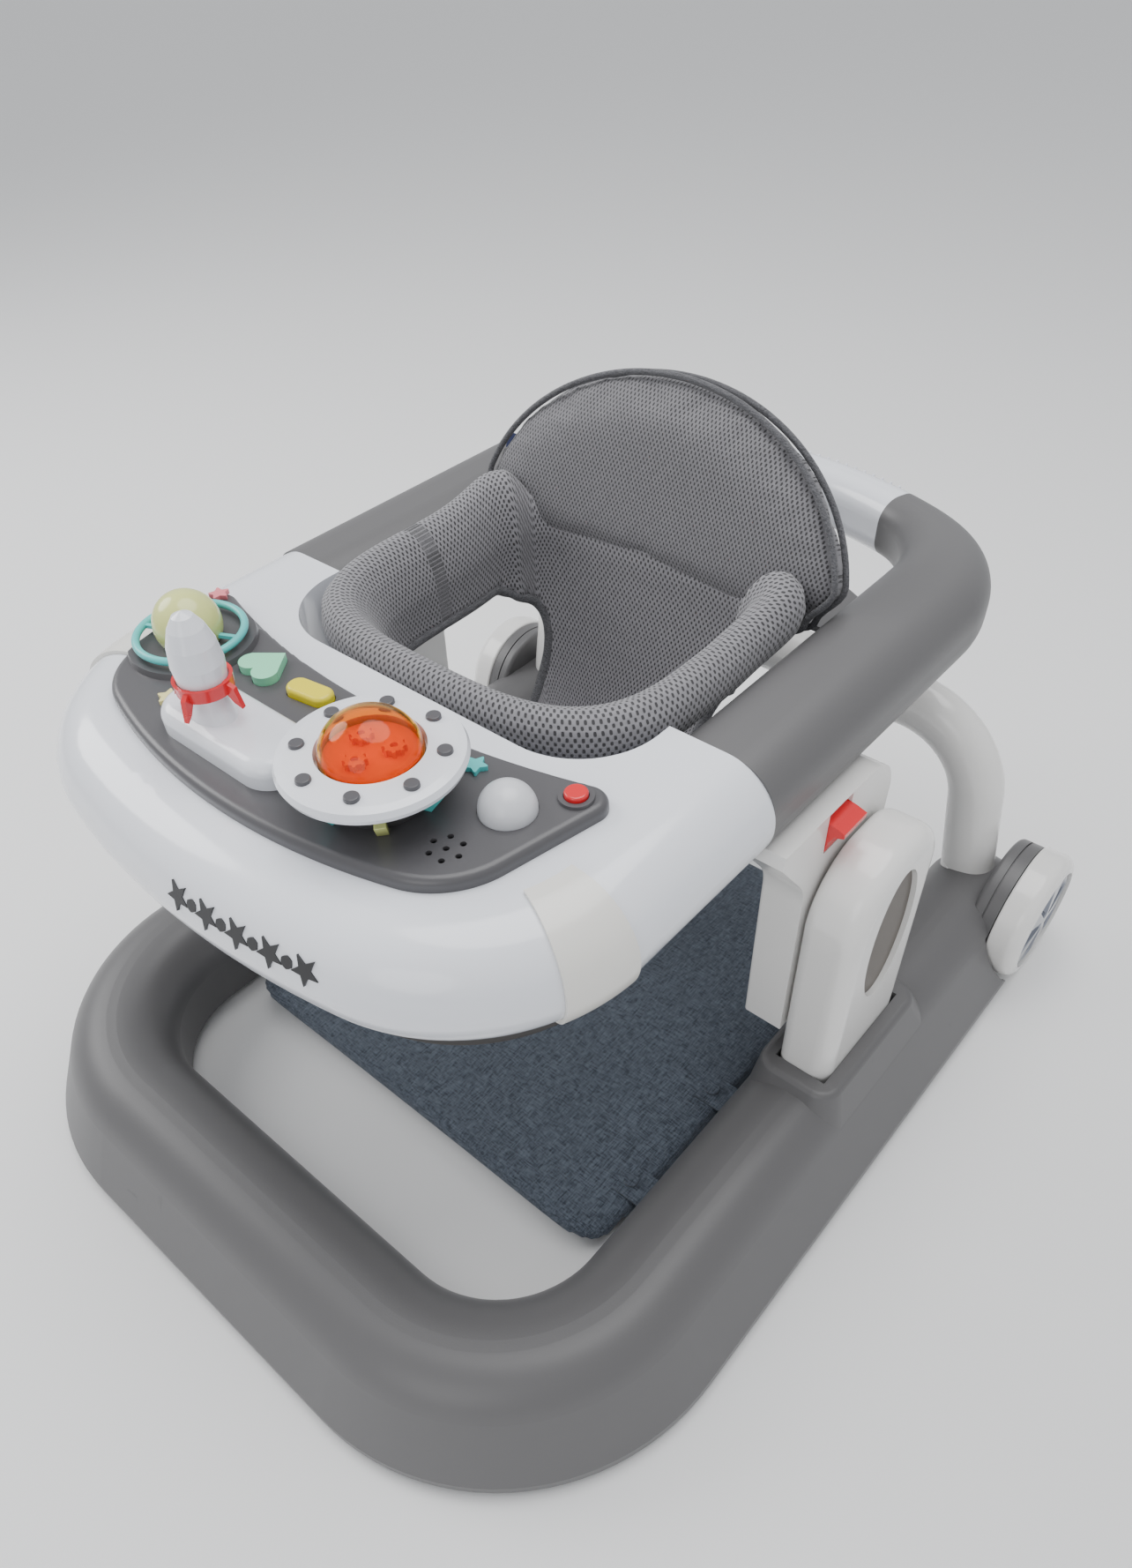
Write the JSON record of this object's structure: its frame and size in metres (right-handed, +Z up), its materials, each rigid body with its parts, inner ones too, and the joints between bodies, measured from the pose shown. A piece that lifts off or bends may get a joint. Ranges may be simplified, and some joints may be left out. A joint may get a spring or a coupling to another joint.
{
  "type": "baby walker",
  "caption": "Wheeled baby walker: U-shaped base, side columns, height-adjustable play tray ring with padded seat, foot mat and toy panel.",
  "frame": {"origin": "on the floor under the middle of the walker", "axes": "+Z up, +Y to the rear where the adult holds the grip, -Y to the tray that the child faces, +X to the child's left-hand side"},
  "size_m": [0.6776, 0.778, 0.5096],
  "materials": {
    "grey_shell": "satin moulded",
    "white_shell": "glossy",
    "white_column": "glossy",
    "dark_pan": "matt",
    "taupe_inset": "satin",
    "clip_white": "glossy",
    "panel_grey": "satin",
    "red": "glossy",
    "mint": "satin",
    "yellow": "satin",
    "lime": "glossy",
    "turquoise": "satin",
    "orange_clear": "clear",
    "orange_floor": "satin",
    "dot_grey": "satin",
    "lamp_white": "frosted",
    "chrome_cap": "polished",
    "steel": "turned",
    "mesh_fabric": "air mesh",
    "mat_fabric": "woven heather",
    "webbing": "woven",
    "label_fabric": "woven",
    "rubber_pad": "matt",
    "caster_grey": "matt",
    "board_green": "lacquered",
    "black_part": "matt"
  },
  "bodies": {
    "base": {"base_shell": "grey_shell", "base_underside": "dark_pan", "base_screws": "steel", "stop_pads": "rubber_pad", "rear_arch": "white_column", "rear_axles": "steel", "column_left": "white_column", "column_right": "white_column", "column_insets": "taupe_inset", "foot_mat": "mat_fabric", "mat_straps": "webbing"},
    "tray": {"tray_shell": "white_shell", "ring_lower_shell": "dark_pan", "tray_screws": "steel", "arm_left": "grey_shell", "arm_right": "grey_shell", "rear_grip": "white_shell", "rear_deck": "grey_shell", "slider_left": "white_column", "slider_right": "white_column", "seat_rim": "mesh_fabric", "seat_back": "mesh_fabric", "seat_sling": "mesh_fabric", "seat_label": "label_fabric", "tray_clips": "clip_white", "toy_panel": "panel_grey", "rocket_pedestal": "white_shell", "ufo_cone": "panel_grey", "ufo_ribs": "turquoise", "stars": "turquoise", "speaker": "black_part", "circuit_board": "board_green", "battery_box": "dark_pan", "lamp_dome": "lamp_white"},
    "latch_left": {"latch_left": "red"},
    "latch_right": {"latch_right": "red"},
    "wheel_left": {"wheel_rim_left": "white_column", "hubcap_left": "chrome_cap"},
    "wheel_right": {"wheel_rim_right": "white_column", "hubcap_right": "chrome_cap"},
    "planet": {"planet": "lime", "planet_ring": "turquoise"},
    "rocket": {"rocket": "white_shell", "rocket_fins": "red"},
    "saucer": {"ufo_saucer": "white_shell", "ufo_dots": "dot_grey", "ufo_gears": "orange_floor", "ufo_dome": "orange_clear"},
    "heart_button": {"heart_button": "mint"},
    "yellow_button": {"yellow_button": "yellow"},
    "power_button": {"power_button": "red"},
    "caster_fork_front_left": {"caster_fork_front_left": "caster_grey"},
    "caster_wheel_front_left": {"caster_wheel_front_left": "black_part"},
    "caster_fork_front_right": {"caster_fork_front_right": "caster_grey"},
    "caster_wheel_front_right": {"caster_wheel_front_right": "black_part"},
    "caster_fork_mid_left": {"caster_fork_mid_left": "caster_grey"},
    "caster_wheel_mid_left": {"caster_wheel_mid_left": "black_part"},
    "caster_fork_mid_right": {"caster_fork_mid_right": "caster_grey"},
    "caster_wheel_mid_right": {"caster_wheel_mid_right": "black_part"}
  },
  "joints": [
    {"name": "height_slide", "type": "slide", "parent": "base", "child": "tray", "axis": [0, 0, 1], "range_m": [0, 0.06]},
    {"name": "latch_pull_left", "type": "slide", "parent": "tray", "child": "latch_left", "axis": [0, 0, 1], "range_m": [0, 0.005], "stiffness_N_per_m": 250, "springref_m": -0.002},
    {"name": "latch_pull_right", "type": "slide", "parent": "tray", "child": "latch_right", "axis": [0, 0, 1], "range_m": [0, 0.005], "stiffness_N_per_m": 250, "springref_m": -0.002},
    {"name": "wheel_spin_left", "type": "hinge", "parent": "base", "child": "wheel_left", "pos_m": [0.31, 0.322, 0.062], "axis": [1, 0, 0], "continuous": true},
    {"name": "wheel_spin_right", "type": "hinge", "parent": "base", "child": "wheel_right", "pos_m": [-0.31, 0.322, 0.062], "axis": [1, 0, 0], "continuous": true},
    {"name": "caster_swivel_front_left", "type": "hinge", "parent": "base", "child": "caster_fork_front_left", "pos_m": [0.112, -0.324, 0.05], "axis": [0, 0, 1], "continuous": true},
    {"name": "caster_spin_front_left", "type": "hinge", "parent": "caster_fork_front_left", "child": "caster_wheel_front_left", "pos_m": [0.112, -0.311, 0.019], "axis": [1, 0, 0], "continuous": true},
    {"name": "caster_swivel_front_right", "type": "hinge", "parent": "base", "child": "caster_fork_front_right", "pos_m": [-0.112, -0.324, 0.05], "axis": [0, 0, 1], "continuous": true},
    {"name": "caster_spin_front_right", "type": "hinge", "parent": "caster_fork_front_right", "child": "caster_wheel_front_right", "pos_m": [-0.112, -0.311, 0.019], "axis": [1, 0, 0], "continuous": true},
    {"name": "caster_swivel_mid_left", "type": "hinge", "parent": "base", "child": "caster_fork_mid_left", "pos_m": [0.269, -0.105, 0.05], "axis": [0, 0, 1], "continuous": true},
    {"name": "caster_spin_mid_left", "type": "hinge", "parent": "caster_fork_mid_left", "child": "caster_wheel_mid_left", "pos_m": [0.269, -0.092, 0.019], "axis": [1, 0, 0], "continuous": true},
    {"name": "caster_swivel_mid_right", "type": "hinge", "parent": "base", "child": "caster_fork_mid_right", "pos_m": [-0.269, -0.105, 0.05], "axis": [0, 0, 1], "continuous": true},
    {"name": "caster_spin_mid_right", "type": "hinge", "parent": "caster_fork_mid_right", "child": "caster_wheel_mid_right", "pos_m": [-0.269, -0.092, 0.019], "axis": [1, 0, 0], "continuous": true},
    {"name": "planet_spin", "type": "hinge", "parent": "tray", "child": "planet", "pos_m": [-0.145, -0.153, 0.43], "axis": [0, 0, 1], "continuous": true},
    {"name": "rocket_spin", "type": "hinge", "parent": "tray", "child": "rocket", "pos_m": [-0.047, -0.203, 0.46], "axis": [0, 0, 1], "continuous": true},
    {"name": "saucer_spin", "type": "hinge", "parent": "tray", "child": "saucer", "pos_m": [0.07, -0.181, 0.44], "axis": [0, 0, 1], "continuous": true},
    {"name": "heart_button_press", "type": "slide", "parent": "tray", "child": "heart_button", "axis": [0, 0, -1], "range_m": [0, 0.0025], "stiffness_N_per_m": 200, "springref_m": -0.002},
    {"name": "yellow_button_press", "type": "slide", "parent": "tray", "child": "yellow_button", "axis": [0, 0, -1], "range_m": [0, 0.0025], "stiffness_N_per_m": 200, "springref_m": -0.002},
    {"name": "power_button_press", "type": "slide", "parent": "tray", "child": "power_button", "axis": [0, 0, -1], "range_m": [0, 0.0025], "stiffness_N_per_m": 200, "springref_m": -0.002}
  ]
}
